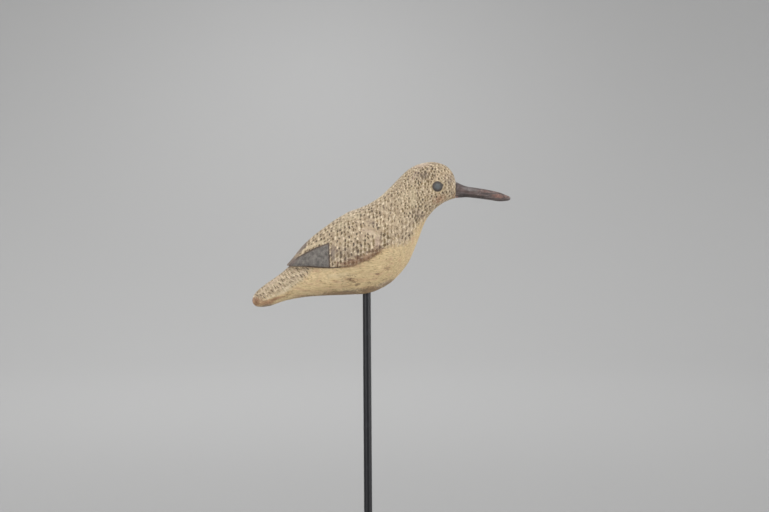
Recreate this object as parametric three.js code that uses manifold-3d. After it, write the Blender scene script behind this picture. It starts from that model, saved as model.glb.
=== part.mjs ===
// A carved and painted shorebird decoy on its display stand, at its real size in millimetres.
//
// +X runs from the tail to the bill, +Y to the bird's left side and +Z up. The origin is the
// middle of the foot's underside, on the axis of the rod.
//
// The decoy is one carved block of wood: tail, body, folded wings, neck, head and raised eyes.
// Its bill is a piece of its own, with a round tenon that goes into the flat of the face. A
// steel rod carries the block by a blind hole in the belly, and stands in a turned steel foot.

import * as THREE from "three";
import { mergeVertices } from "three/addons/utils/BufferGeometryUtils.js";
import Module from "manifold-3d";

const wasm = await Module();
wasm.setup();

// Driving sizes of the decoy
const decoyLength = 200; // tail tip to bill tip
const bodyWidth = 52; // across the widest part of the body, without the wings
const wingRelief = 2.4; // how far a folded wing stands out from the flank
const wingEdgeRadius = 5; // the rounding of a wing's lower edge, at the shoulder
const shoulderLedge = 3; // how far a wing takes to rise at the front of the shoulder
const shoulderFade = 12; // the same on top, where wing and back run together
const tipGap = 5; // between the two wing tips, across the tail
const eyeDiameter = 8;
const eyeRelief = 0.9;
const tenonDiameter = 5; // of the bill's round tenon
const tenonLength = 9;
const billGap = 0.3; // around the tenon, and between the bill and the face

// Driving sizes of the stand
const rodDiameter = 6.35;
const rodGap = 0.3; // around the rod in both of its holes
const rodInDecoy = 20;
const socketFloor = 3; // steel left under the rod
const standHeight = 235; // from the foot's top to the decoy's underside at the rod
const footDiameter = 92;
const footThickness = 10;
const footChamfer = 1.2;

// How finely the round forms are cut
const slicesAlong = 60;
const pointsAround = 40;
const billSlices = 24;
const billPoints = 24;
const rodSides = 32;
const footSides = 64;

// The carving is laid out in the side view, in percent of decoyLength: x from the tail tip
// and z up from the lowest point of the tail.
const percent = decoyLength / 100;
const rodPlace = [44.4, 4.95]; // where the rod enters the underside
const eyePlace = [71.9, 46.2];

// Slanted slices through the block, from the tail to the face. Each says where it meets the
// underside and the back, its half width as a share of the body's, and how far up it is widest.
// The first ones also say where the folded wings' top line runs, until it joins the back's.
const slices = [
  { belly: [1.0, -0.5], back: [-0.6, 4.1], wings: [0, 2.5], halfWidth: 0.27, widest: 0.42 }, // tail's end
  { belly: [7.0, 0.4], back: [3.9, 7.6], wings: [5.0, 5.5], halfWidth: 0.35, widest: 0.37 },
  { belly: [14.0, 2.6], back: [9.4, 11.6], wings: [9.6, 11.0], halfWidth: 0.46, widest: 0.36 },
  { belly: [21.4, 3.8], back: [14.4, 15.5], wings: [13.9, 16.7], halfWidth: 0.61, widest: 0.37 }, // wing tips
  { belly: [29.5, 4.3], back: [22.4, 22.4], wings: [21.2, 24.9], halfWidth: 0.79, widest: 0.38 },
  { belly: [37.3, 4.5], back: [30.0, 30.3], wings: [29.6, 31.6], halfWidth: 0.93, widest: 0.4 },
  { belly: [44.6, 5.0], back: [36.0, 35.6], halfWidth: 1.0, widest: 0.41 },
  { belly: [51.2, 7.0], back: [41.9, 38.0], halfWidth: 0.99, widest: 0.42 }, // deepest breast
  { belly: [56.4, 11.0], back: [46.6, 40.2], halfWidth: 0.92, widest: 0.43 },
  { belly: [60.6, 16.7], back: [50.7, 43.0], halfWidth: 0.8, widest: 0.45 },
  { belly: [63.5, 23.3], back: [54.5, 46.6], halfWidth: 0.67, widest: 0.47 }, // neck
  { belly: [65.6, 28.6], back: [58.4, 50.6], halfWidth: 0.57, widest: 0.49 },
  { belly: [67.7, 33.5], back: [62.0, 53.4], halfWidth: 0.52, widest: 0.5 },
  { belly: [70.8, 37.3], back: [66.3, 55.2], halfWidth: 0.51, widest: 0.51 }, // crown
  { belly: [73.7, 39.5], back: [70.9, 55.6], halfWidth: 0.475, widest: 0.52 },
  { belly: [76.2, 40.8], back: [75.4, 54.0], halfWidth: 0.385, widest: 0.52 }, // brow
  { belly: [77.9, 41.4], back: [78.0, 51.2], halfWidth: 0.285, widest: 0.5 },
  { belly: [79.0, 41.6], back: [79.1, 47.9], halfWidth: 0.185, widest: 0.5 }, // face
];
const tailRounding = 0.7; // of the first stretch between slices, over which the tail's end is rounded
const tailClosing = 0.12; // of a step along, where that round end is closed flat
const bellyFullness = 2.25; // 2 is an ellipse, and more is boxier
const backFullness = 2.0;

// The wing's outline: its crisp lower edge from behind the tip to the shoulder, and the soft
// line that closes it, round the shoulder and up onto the back.
const wingEdge = [
  [6.0, 16.3], [13.9, 15.9], [22.0, 15.35], [30.7, 15.0],
  [38.9, 16.7], [46.7, 20.0], [52.0, 24.1], [53.4, 26.2],
];
const shoulderLine = [
  [49.0, 20.0], [53.0, 24.6], [52.9, 27.2], [49.8, 28.9],
  [46.4, 30.4], [43.8, 33.0], [43.6, 36.5], [45.2, 41.0],
];
const tipFork = [20.5, 13.0]; // x of the fork between the wing tips, and of their ends
const wingSkin = [0.07, 0.8]; // shares of the way along the block between which it has a wing's skin

// The bill, from the face to its tip: its lower and upper edge, and its width as a share of
// the face's.
const billSections = [
  { low: [79.0, 41.6], high: [79.1, 47.9], width: 1 },
  { low: [80.9, 41.6], high: [80.9, 47.1], width: 0.88 },
  { low: [83.2, 41.6], high: [83.2, 46.4], width: 0.8 },
  { low: [87.0, 41.2], high: [87.0, 45.8], width: 0.76 },
  { low: [91.5, 40.6], high: [91.5, 45.0], width: 0.74 },
  { low: [95.5, 39.9], high: [95.5, 44.2], width: 0.72 },
  { low: [98.2, 39.8], high: [98.2, 43.2], width: 0.62 },
  { low: [99.6, 40.2], high: [99.7, 42.3], width: 0.4 },
  { low: [100.1, 40.8], high: [100.2, 41.6], width: 0.14 },
];

// A point of the side view in millimetres, in the part's frame
function sidePoint([x, z]) {
  return new THREE.Vector2(
    (x - rodPlace[0]) * percent,
    footThickness + standHeight + (z - rodPlace[1]) * percent,
  );
}

function curveThrough(points) {
  return new THREE.SplineCurve(points.map(sidePoint));
}

const bellyCurve = curveThrough(slices.map((s) => s.belly));
const backCurve = curveThrough(slices.map((s) => s.back));
const wingsTopCurve = curveThrough(slices.map((s) => s.wings ?? s.back));
const girthCurve = new THREE.SplineCurve(
  slices.map((s) => new THREE.Vector2((s.halfWidth * bodyWidth) / 2, s.widest)),
);

// A sine or cosine bent to a superellipse, with its sign
function rounded(value, fullness) {
  return Math.sign(value) * Math.abs(value) ** (2 / fullness);
}

// One slice of the block as a ring of points, from the underside round the left flank to the
// back and down the right flank. swell(x, z) pushes the flanks out or in.
function sliceRing(t, topPoint, size, swell) {
  const belly = bellyCurve.getPoint(t);
  const girth = girthCurve.getPoint(t);
  const middle = belly.clone().lerp(topPoint, 0.5);
  return Array.from({ length: pointsAround }, (_, i) => {
    const angle = (2 * Math.PI * i) / pointsAround - Math.PI / 2;
    const up = Math.sin(angle);
    const fullness = up < 0 ? bellyFullness : backFullness;
    const reach = up < 0 ? girth.y : 1 - girth.y;
    const height = girth.y + reach * rounded(up, fullness);
    const side = belly.clone().lerp(topPoint, height).sub(middle).multiplyScalar(size).add(middle);
    const out = rounded(Math.cos(angle), fullness);
    const halfWidth = girth.x * size + swell(side.x, side.y);
    return new THREE.Vector3(side.x, halfWidth * out, side.y);
  });
}

// The quarter round that closes the tail's end
function tailSize(t) {
  const share = (t * (slices.length - 1)) / tailRounding;
  return share >= 1 ? 1 : Math.sqrt(1 - (1 - share) ** 2);
}

// A closed geometry through a row of rings, with a fan at each end. The faces of the right half
// mirror those of the left.
function loft(rings) {
  const count = rings[0].length;
  const positions = rings.flat().flatMap((p) => p.toArray());
  const index = [];
  for (let r = 0; r + 1 < rings.length; r += 1) {
    for (let i = 0; i < count; i += 1) {
      const a = r * count + i;
      const b = r * count + ((i + 1) % count);
      if (i < count / 2) index.push(a, b, a + count, b, b + count, a + count);
      else index.push(a, b, b + count, a, b + count, a + count);
    }
  }
  const capRing = (ring, first, facingBack) => {
    const centre = positions.length / 3;
    const middle = ring.reduce((sum, p) => sum.add(p), new THREE.Vector3()).divideScalar(count);
    positions.push(...middle.toArray());
    for (let i = 0; i < count; i += 1) {
      const next = (i + 1) % count;
      index.push(centre, first + (facingBack ? next : i), first + (facingBack ? i : next));
    }
  };
  capRing(rings[0], 0, true);
  capRing(rings.at(-1), (rings.length - 1) * count, false);
  return new THREE.BufferGeometry()
    .setAttribute("position", new THREE.Float32BufferAttribute(positions, 3))
    .setIndex(index);
}

// Between three.js geometry and manifold-3d solids, for the boolean cuts
function toSolid(geometry) {
  const bare = geometry.clone().deleteAttribute("normal").deleteAttribute("uv");
  const merged = mergeVertices(bare, 1e-4);
  return new wasm.Manifold(
    new wasm.Mesh({
      numProp: 3,
      vertProperties: merged.attributes.position.array,
      triVerts: new Uint32Array(merged.index.array),
    }),
  );
}

function toGeometry(solid) {
  const mesh = solid.getMesh();
  return new THREE.BufferGeometry()
    .setAttribute("position", new THREE.BufferAttribute(mesh.vertProperties, 3))
    .setIndex(new THREE.BufferAttribute(mesh.triVerts, 1));
}

// The distance from a point of the side view to a row of points, positive on its left
function distanceLeftOf(row, x, z) {
  let nearest = Infinity;
  let signed = 0;
  for (let i = 0; i + 1 < row.length; i += 1) {
    const [ax, az] = [row[i].x, row[i].y];
    const [dx, dz] = [row[i + 1].x - ax, row[i + 1].y - az];
    const along = THREE.MathUtils.clamp(((x - ax) * dx + (z - az) * dz) / (dx * dx + dz * dz), 0, 1);
    const distance = Math.hypot(x - ax - along * dx, z - az - along * dz);
    if (distance < nearest) {
      nearest = distance;
      signed = dx * (z - az) - dz * (x - ax) >= 0 ? distance : -distance;
    }
  }
  return signed;
}

const wingEdgeRow = curveThrough(wingEdge).getPoints(48);
const shoulderRow = curveThrough(shoulderLine).getPoints(42);

// How far a wing stands out of the flank: nothing in front of the shoulder line, rising behind
// it in a ledge that fades towards the back, and rounded over towards the lower edge, more so
// at the shoulder than at the tip.
function wingSwell(x, z) {
  const { smoothstep, lerp } = THREE.MathUtils;
  const upShoulder = smoothstep(z, wingEdgeRow.at(-1).y, shoulderRow.at(-1).y);
  const rise = smoothstep(
    distanceLeftOf(shoulderRow, x, z), 0, lerp(shoulderLedge, shoulderFade, upShoulder),
  );
  const alongWing = smoothstep(x, wingEdgeRow[0].x, wingEdgeRow.at(-1).x);
  const radius = wingEdgeRadius * lerp(0.3, 1, alongWing);
  const fromEdge = THREE.MathUtils.clamp(distanceLeftOf(wingEdgeRow, x, z) / radius, 0, 1);
  const over = Math.sqrt(1 - (1 - fromEdge) ** 2);
  return wingRelief * rise * lerp(0.3, 1, over);
}

function bodySolid() {
  const rings = [];
  for (let i = 0; i <= slicesAlong; i += 1) {
    const t = Math.max(i, tailClosing) / slicesAlong;
    rings.push(sliceRing(t, backCurve.getPoint(t), tailSize(t), () => 0));
  }
  return toSolid(loft(rings));
}

// Everything above the wings' lower edge, right through the block
function aboveWingEdge() {
  const outline = new THREE.Shape(wingEdgeRow);
  const shoulder = wingEdgeRow.at(-1);
  const clear = decoyLength / 10;
  const top = footThickness + standHeight + decoyLength;
  outline.lineTo(shoulder.x + clear, shoulder.y);
  outline.lineTo(shoulder.x + clear, top);
  outline.lineTo(wingEdgeRow[0].x, top);
  const depth = bodyWidth * 2;
  const prism = new THREE.ExtrudeGeometry(outline, { depth, bevelEnabled: false });
  prism.translate(0, 0, -depth / 2).rotateX(Math.PI / 2);
  return toSolid(prism);
}

// The wedge of air between the two wing tips, seen from above
function tipWedge() {
  const [fork, end] = tipFork.map((x) => sidePoint([x, 0]).x);
  const clear = end - decoyLength / 10;
  const half = tipGap / 2;
  const corners = [[fork, 0], [end, half], [clear, half], [clear, -half], [end, -half]];
  const outline = new THREE.Shape(corners.map((corner) => new THREE.Vector2(...corner)));
  const wedge = new THREE.ExtrudeGeometry(outline, { depth: decoyLength, bevelEnabled: false });
  wedge.translate(0, 0, footThickness + standHeight);
  return toSolid(wedge);
}

// The folded wings, as a second skin over the body, on the same slices. In front of the
// shoulder it lies exactly on the body's.
function wingsSolid() {
  const rings = [];
  for (let i = Math.round(slicesAlong * wingSkin[0]); i < slicesAlong * wingSkin[1]; i += 1) {
    const t = i / slicesAlong;
    rings.push(sliceRing(t, wingsTopCurve.getPoint(t), 1, wingSwell));
  }
  return toSolid(loft(rings)).intersect(aboveWingEdge()).subtract(tipWedge());
}

// Where a point of the side view lies on the left flank: the slice through it is found by
// halving, and its width read off.
function flankPoint(place) {
  const point = sidePoint(place);
  let [low, high] = [0, 1];
  for (let step = 0; step < 30; step += 1) {
    const t = (low + high) / 2;
    const belly = bellyCurve.getPoint(t);
    const line = backCurve.getPoint(t).sub(belly);
    const ahead = point.clone().sub(belly).cross(line) > 0;
    [low, high] = ahead ? [t, high] : [low, t];
  }
  const belly = bellyCurve.getPoint(low);
  const girth = girthCurve.getPoint(low);
  const height = point.distanceTo(belly) / backCurve.getPoint(low).distanceTo(belly);
  const share = height < girth.y ? 1 - height / girth.y : (height - girth.y) / (1 - girth.y);
  const fullness = height < girth.y ? bellyFullness : backFullness;
  return new THREE.Vector3(point.x, girth.x * (1 - share ** fullness) ** (1 / fullness), point.y);
}

// A shallow round dome for one eye, lying square on the side of the head
function eyeSolid(side) {
  const [x, z] = eyePlace;
  const centre = flankPoint([x, z]);
  const ahead = flankPoint([x + 1, z]).sub(centre);
  const above = flankPoint([x, z + 1]).sub(centre);
  const outward = above.cross(ahead).normalize();
  const dome = new THREE.SphereGeometry(eyeDiameter / 2, 24, 12);
  dome.scale(1, eyeRelief / (eyeDiameter / 2), 1);
  dome.applyQuaternion(new THREE.Quaternion().setFromUnitVectors(new THREE.Vector3(0, 1, 0), outward));
  dome.translate(...centre.toArray());
  const solid = toSolid(dome);
  return side > 0 ? solid : solid.mirror([0, 1, 0]);
}

// The blind hole in the belly that the rod stands in
function rodHole() {
  const radius = rodDiameter / 2 + rodGap;
  const hole = new THREE.CylinderGeometry(radius, radius, rodInDecoy * 2, rodSides);
  hole.rotateX(Math.PI / 2).translate(0, 0, footThickness + standHeight);
  return toSolid(hole);
}

// A round bar along X through the middle of the face: so deep into the head, and as far out of
// it as it is thick
function barInFace(radius, depth) {
  const face = bellyCurve.getPoint(1).lerp(backCurve.getPoint(1), 0.5);
  const bar = new THREE.CylinderGeometry(radius, radius, depth + radius, billPoints);
  return toSolid(bar.rotateZ(Math.PI / 2).translate(face.x + (radius - depth) / 2, 0, face.y));
}

function decoyGeometry() {
  const carved = bodySolid().add(wingsSolid()).add(eyeSolid(1)).add(eyeSolid(-1));
  const tenonHole = barInFace(tenonDiameter / 2 + billGap, tenonLength + billGap);
  return toGeometry(carved.subtract(rodHole()).subtract(tenonHole));
}

function billGeometry() {
  const lowCurve = curveThrough(billSections.map((s) => s.low));
  const highCurve = curveThrough(billSections.map((s) => s.high));
  const widthCurve = new THREE.SplineCurve(billSections.map((s) => new THREE.Vector2(s.width, 0)));
  const faceWidth = slices.at(-1).halfWidth * bodyWidth;
  const rings = [];
  for (let i = 0; i <= billSlices; i += 1) {
    const t = i / billSlices;
    const [low, high] = [lowCurve.getPoint(t), highCurve.getPoint(t)];
    const halfWidth = (widthCurve.getPoint(t).x * faceWidth) / 2;
    rings.push(
      Array.from({ length: billPoints }, (_, k) => {
        const angle = (2 * Math.PI * k) / billPoints - Math.PI / 2;
        const side = low.clone().lerp(high, (1 + Math.sin(angle)) / 2);
        return new THREE.Vector3(side.x + billGap, halfWidth * Math.cos(angle), side.y);
      }),
    );
  }
  return toGeometry(toSolid(loft(rings)).add(barInFace(tenonDiameter / 2, tenonLength)));
}

function rodGeometry() {
  const bottom = socketFloor + rodGap;
  const top = footThickness + standHeight + rodInDecoy - rodGap;
  const rod = new THREE.CylinderGeometry(rodDiameter / 2, rodDiameter / 2, top - bottom, rodSides);
  return rod.rotateX(Math.PI / 2).translate(0, 0, (top + bottom) / 2);
}

// The turned foot, with its edges broken and a blind socket for the rod
function footGeometry() {
  const radius = footDiameter / 2;
  const socket = rodDiameter / 2 + rodGap;
  const profile = [
    [0, 0], [radius - footChamfer, 0], [radius, footChamfer], [radius, footThickness - footChamfer],
    [radius - footChamfer, footThickness], [socket, footThickness],
    [socket, socketFloor], [0, socketFloor],
  ];
  const foot = new THREE.LatheGeometry(profile.map((p) => new THREE.Vector2(...p)), footSides);
  return foot.rotateX(Math.PI / 2);
}

const paintedWood = new THREE.MeshStandardMaterial({ color: 0xb9a27e, roughness: 0.8, metalness: 0 });
const paintedBill = new THREE.MeshStandardMaterial({ color: 0x4d4444, roughness: 0.55, metalness: 0 });
const blackSteel = new THREE.MeshStandardMaterial({ color: 0x2b2b2e, roughness: 0.45, metalness: 0 });

function piece(name, geometry, material) {
  const mesh = new THREE.Mesh(geometry, material);
  mesh.name = name;
  geometry.computeVertexNormals();
  return mesh;
}

const decoyOnStand = new THREE.Group();
decoyOnStand.add(
  piece("carved_bird", decoyGeometry(), paintedWood),
  piece("bill", billGeometry(), paintedBill),
  piece("rod", rodGeometry(), blackSteel),
  piece("foot", footGeometry(), blackSteel),
);

export default decoyOnStand;
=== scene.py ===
# A carved and painted shorebird decoy on its display rod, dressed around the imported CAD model.
# Forms are worked out in millimetres, in the part's own frame, and made in metres.

import math
from functools import partial

import bpy
import numpy as np
from mathutils import Matrix, Vector, noise
from mathutils.bvhtree import BVHTree


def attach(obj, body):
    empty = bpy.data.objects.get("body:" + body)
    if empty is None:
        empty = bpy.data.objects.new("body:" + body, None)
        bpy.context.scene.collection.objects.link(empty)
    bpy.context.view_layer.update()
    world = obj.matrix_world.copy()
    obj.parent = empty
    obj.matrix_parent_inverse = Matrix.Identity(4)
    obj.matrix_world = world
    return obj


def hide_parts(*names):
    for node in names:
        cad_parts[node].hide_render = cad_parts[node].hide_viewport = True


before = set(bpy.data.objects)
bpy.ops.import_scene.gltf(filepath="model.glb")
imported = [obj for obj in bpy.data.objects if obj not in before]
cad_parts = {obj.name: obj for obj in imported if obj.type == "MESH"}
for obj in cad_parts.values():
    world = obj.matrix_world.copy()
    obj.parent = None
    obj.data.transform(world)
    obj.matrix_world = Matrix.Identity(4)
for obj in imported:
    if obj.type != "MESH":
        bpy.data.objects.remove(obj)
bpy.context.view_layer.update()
mm = 0.001
chance = np.random.default_rng(41)  # every random draw comes from here
print("stage: frame loaded")

# The decoy's form, laid out in the side view in percent of its length. It follows the solids, with
# the wing's lower edge and the lower breast a little closer to the photo.
decoy = {
    "length": 200, "bodyWidth": 52, "baseHeight": 245,  # mm, base is where the rod enters the belly
    "rodPlace": (44.4, 4.95), "eyePlace": (71.9, 46.2), "faceAt": 79,
    "wingRelief": 2.4, "wingEdgeRadius": 5, "shoulderLedge": 3, "shoulderFade": 12,
    "tipRadiusShare": 0.3, "crispShare": 0.3,  # edge radius at the tips, relief that stands as a step
    "tipGap": 5, "tipFork": (20.5, 13.0), "wingSkin": (0.0667, 0.785),
    "eyeDiameter": 8, "eyeRelief": 0.9,
    "tenonHole": 5.6, "tenonHoleDepth": 9.3, "rodHole": 6.95, "rodHoleDepth": 20, "cutPast": 3,
    "bellyFullness": 2.25, "backFullness": 2.0, "tailRounding": 0.7, "tailStart": 0.12,
    "slicesAlong": 240, "pointsAround": 144, "eyeLevels": 25, "eyeSides": 48,
    "voxel": 0.62,  # mm between the points of the finished surface
}
sliceTable = np.array([
    # belly x z, back x z, wings' top x z, half width, where it is widest
    (1.0, -0.5, -0.6, 4.1, 0, 2.5, 0.27, 0.42),
    (7.0, 0.4, 3.9, 7.6, 5.0, 5.5, 0.35, 0.37),
    (14.0, 2.6, 9.4, 11.6, 9.6, 11.0, 0.46, 0.36),
    (21.4, 3.8, 14.4, 15.5, 13.9, 16.7, 0.61, 0.37),
    (29.5, 4.3, 22.4, 22.4, 21.2, 24.9, 0.79, 0.38),
    (37.3, 4.5, 30.0, 30.3, 29.6, 31.6, 0.93, 0.40),
    (44.6, 5.0, 36.0, 35.6, 36.0, 35.6, 1.0, 0.41),
    (51.1, 7.45, 41.9, 38.0, 41.9, 38.0, 0.99, 0.42),
    (56.15, 11.35, 46.6, 40.2, 46.6, 40.2, 0.92, 0.43),
    (60.5, 16.75, 50.7, 43.0, 50.7, 43.0, 0.80, 0.45),
    (63.5, 23.3, 54.5, 46.6, 54.5, 46.6, 0.67, 0.47),
    (65.6, 28.6, 58.4, 50.6, 58.4, 50.6, 0.57, 0.49),
    (67.7, 33.5, 62.0, 53.4, 62.0, 53.4, 0.52, 0.50),
    (70.8, 37.3, 66.3, 55.2, 66.3, 55.2, 0.51, 0.51),
    (73.7, 39.5, 70.9, 55.6, 70.9, 55.6, 0.475, 0.52),
    (76.2, 40.8, 75.4, 54.0, 75.4, 54.0, 0.385, 0.52),
    (77.9, 41.4, 78.0, 51.2, 78.0, 51.2, 0.285, 0.50),
    (79.0, 41.6, 79.1, 47.9, 79.1, 47.9, 0.185, 0.50),
])
wingEdge = [(6.0, 16.2), (13.9, 15.95), (22.0, 15.75), (30.7, 15.4),
            (38.9, 16.4), (46.7, 19.6), (52.0, 23.9), (53.4, 26.2)]
shoulderLine = [(49.0, 20.0), (53.0, 24.6), (52.9, 27.2), (49.8, 28.9),
                (46.4, 30.4), (43.8, 33.0), (43.6, 36.5), (45.2, 41.0)]


def sideMm(points):  # percent of the side view to mm
    percent = decoy["length"] / 100
    return (np.asarray(points, float) - decoy["rodPlace"]) * percent + (0, decoy["baseHeight"])


def alongMm(*percents):  # the same for places along the side view alone
    return sideMm([(percent, 0) for percent in percents])[:, 0]


def splineThrough(points, t):  # a uniform Catmull-Rom curve with its ends doubled
    points = np.asarray(points, float)
    last = len(points) - 1
    place = np.clip(t, 0, 1) * last
    i = np.floor(place).astype(int)
    w = (place - i)[..., None]
    p0, p1 = points[np.maximum(i - 1, 0)], points[i]
    p2, p3 = points[np.minimum(i + 1, last)], points[np.minimum(i + 2, last)]
    v0, v1 = (p2 - p0) / 2, (p3 - p1) / 2
    return (2 * p1 - 2 * p2 + v0 + v1) * w**3 + (3 * p2 - 3 * p1 - 2 * v0 - v1) * w**2 + v0 * w + p1


def smoothLine(points, steps):  # a smooth line through places of the side view, in short steps
    return splineThrough(sideMm(points), np.linspace(0, 1, steps + 1))


bellyRow, backRow, wingRow = (sideMm(sliceTable[:, i : i + 2]) for i in (0, 2, 4))
girthRow = sliceTable[:, 6:8] * (decoy["bodyWidth"] / 2, 1)
wingEdgeRow, shoulderRow = smoothLine(wingEdge, steps=48), smoothLine(shoulderLine, steps=42)
faceX, faceZ = (bellyRow[-1] + backRow[-1]) / 2  # the middle of the flat face behind the bill


def smooth(value, low, high):  # the usual smooth step from 0 to 1
    share = np.clip((value - low) / (high - low), 0, 1)
    return share * share * (3 - 2 * share)


def turnAngles(count):  # even steps round a full turn
    return 2 * np.pi * np.arange(count) / count


def rounded(value, fullness):  # a sine or cosine bent, so that a slice is fuller than an ellipse
    return np.sign(value) * np.abs(value) ** (2 / fullness)


def distanceLeftOf(row, x, z):  # mm from a row of points in the side view, positive on its left
    nearest, signed = np.full(x.shape, np.inf), np.zeros(x.shape)
    for a, b in zip(row[:-1], row[1:]):
        d = b - a
        along = np.clip(((x - a[0]) * d[0] + (z - a[1]) * d[1]) / (d @ d), 0, 1)
        distance = np.hypot(x - a[0] - along * d[0], z - a[1] - along * d[1])
        side = np.where(d[0] * (z - a[1]) - d[1] * (x - a[0]) >= 0, 1, -1)
        closer = distance < nearest
        signed = np.where(closer, distance * side, signed)
        nearest = np.where(closer, distance, nearest)
    return signed


def wingSwell(x, z):  # how far a folded wing stands out of the flank
    upShoulder = smooth(z, wingEdgeRow[-1, 1], shoulderRow[-1, 1])
    ledge = decoy["shoulderLedge"] + (decoy["shoulderFade"] - decoy["shoulderLedge"]) * upShoulder
    rise = smooth(distanceLeftOf(shoulderRow, x, z) / ledge, 0, 1)
    tip, crisp = decoy["tipRadiusShare"], decoy["crispShare"]
    radius = decoy["wingEdgeRadius"] * (tip + (1 - tip) * smooth(x, wingEdgeRow[0, 0], wingEdgeRow[-1, 0]))
    fromEdge = np.clip(distanceLeftOf(wingEdgeRow, x, z) / radius, 0, 1)
    return decoy["wingRelief"] * rise * (crisp + (1 - crisp) * np.sqrt(1 - (1 - fromEdge) ** 2))


def noSwell(x, z):  # for slices of the body alone
    return 0 * x


def skinRings(t, topRow, size, swell):  # slices through the block as rings of points
    angle = turnAngles(decoy["pointsAround"]) - np.pi / 2
    up, out = np.sin(angle), np.cos(angle)
    fullness = np.where(up < 0, decoy["bellyFullness"], decoy["backFullness"])
    belly, top, girth = (splineThrough(row, t) for row in (bellyRow, topRow, girthRow))
    reach = np.where(up < 0, girth[:, 1:], 1 - girth[:, 1:])
    height = (girth[:, 1:] + reach * rounded(up, fullness))[..., None]
    middle = (belly + top)[:, None] / 2
    side = belly[:, None] + (top - belly)[:, None] * height
    side = middle + (side - middle) * size[:, None, None]
    halfWidth = girth[:, :1] * size[:, None] + swell(side[..., 0], side[..., 1])
    return np.stack([side[..., 0], halfWidth * rounded(out, fullness), side[..., 1]], -1)


# Making, cutting and joining meshes
def makeObject(name, points, faces):
    mesh = bpy.data.meshes.new(name)
    mesh.from_pydata((np.asarray(points, float) * mm).tolist(), [], faces)
    made = bpy.data.objects.new(name, mesh)
    bpy.context.scene.collection.objects.link(made)
    return made


def loft(name, rings):  # rings with the same number of points, closed flat at both ends
    rows, count = rings.shape[:2]
    start = np.arange(rows - 1)[:, None] * count
    a, b = start + np.arange(count), start + (np.arange(count) + 1) % count
    quads = np.stack([a, b, b + count, a + count], -1).reshape(-1, 4).tolist()
    caps = [list(range(count))[::-1], list(range((rows - 1) * count, rows * count))]
    return makeObject(name, rings.reshape(-1, 3), quads + caps)


def bar(name, start, end, radius, sides=64):  # a round bar between two points
    start, end = Vector(start), Vector(end)
    turn = (end - start).to_track_quat("Z", "Y")
    ring = [turn @ Vector((radius * math.cos(a), radius * math.sin(a), 0)) for a in turnAngles(sides)]
    return loft(name, np.array([[p + start for p in ring], [p + end for p in ring]]))


def prism(name, outline, low, high, axis):  # an outline pulled along y, or along z
    place = (lambda u, v, w: (u, w, v)) if axis == "y" else (lambda u, v, w: (u, v, w))
    rings = [[place(u, v, w) for u, v in outline] for w in (low, high)]
    return loft(name, np.array(rings if axis == "z" else rings[::-1]))


def applied(piece):  # turns the piece's modifiers into its mesh
    graph = bpy.context.evaluated_depsgraph_get()
    mesh = bpy.data.meshes.new_from_object(piece.evaluated_get(graph))
    piece.modifiers.clear()
    piece.data = mesh
    return piece


def combined(piece, tool, operation):
    step = piece.modifiers.new("combine", "BOOLEAN")
    step.object, step.operation, step.solver = tool, operation, "MANIFOLD"
    applied(piece)
    bpy.data.objects.remove(tool)
    return piece


def pointsOf(mesh, what="co"):
    source = mesh.vertices if what == "co" else mesh.vertex_normals
    values = np.zeros(len(source) * 3, np.float32)
    source.foreach_get("co" if what == "co" else "vector", values)
    return values.reshape(-1, 3).astype(float)


def movePoints(mesh, points):
    mesh.vertices.foreach_set("co", points.astype(np.float32).ravel())
    mesh.update()


# The block: body, folded wings and raised eyes in one
def sliceAt(x, z, topRow):  # how far along the block the slice through a place of the side view is
    low, high = np.zeros_like(x), np.ones_like(x)
    for halving in range(24):
        t = (low + high) / 2
        belly = splineThrough(bellyRow, t)
        line = splineThrough(topRow, t) - belly
        ahead = (x - belly[:, 0]) * line[:, 1] - (z - belly[:, 1]) * line[:, 0] > 0
        low, high = np.where(ahead, t, low), np.where(ahead, high, t)
    return low


def placeOn(topRow, x, z):  # each point's slice, and how high up the slice it lies
    t = sliceAt(x, z, topRow)
    belly, top = splineThrough(bellyRow, t), splineThrough(topRow, t)
    return t, np.hypot(x - belly[:, 0], z - belly[:, 1]) / np.linalg.norm(top - belly, axis=1)


def halfWidthAt(t, height):  # the body's half width so high up its slices
    halfWidth, widest = splineThrough(girthRow, t).T
    low = height < widest
    share = np.clip(np.where(low, 1 - height / widest, (height - widest) / (1 - widest)), 0, 1)
    fullness = np.where(low, decoy["bellyFullness"], decoy["backFullness"])
    return halfWidth * (1 - share**fullness) ** (1 / fullness)


def flankPoint(x, z):  # where a place of the side view lies on the left flank
    return np.array([x, halfWidthAt(*placeOn(backRow, np.array([x]), np.array([z])))[0], z])


def eyeDome(side):
    x, z = sideMm(decoy["eyePlace"])
    centre = flankPoint(x, z)
    outward = np.cross(flankPoint(x, z + 1) - centre, flankPoint(x + 1, z) - centre)
    turn = Vector(outward / np.linalg.norm(outward)).to_track_quat("Z", "Y")
    angles = turnAngles(decoy["eyeSides"])
    pole = 0.49 * np.pi  # just short of a quarter turn, so that no ring is a point
    rings = []
    for tilt in np.linspace(-pole, pole, decoy["eyeLevels"]):
        reach, up = decoy["eyeDiameter"] / 2 * math.cos(tilt), decoy["eyeRelief"] * math.sin(tilt)
        level = [(reach * math.cos(a), reach * math.sin(a), up) for a in angles]
        rings.append([np.array(turn @ Vector(p)) + centre for p in level])
    rings = np.array(rings)
    if side < 0:
        rings = rings[:, ::-1] * (1, -1, 1)
    return loft("eye", rings)


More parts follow.
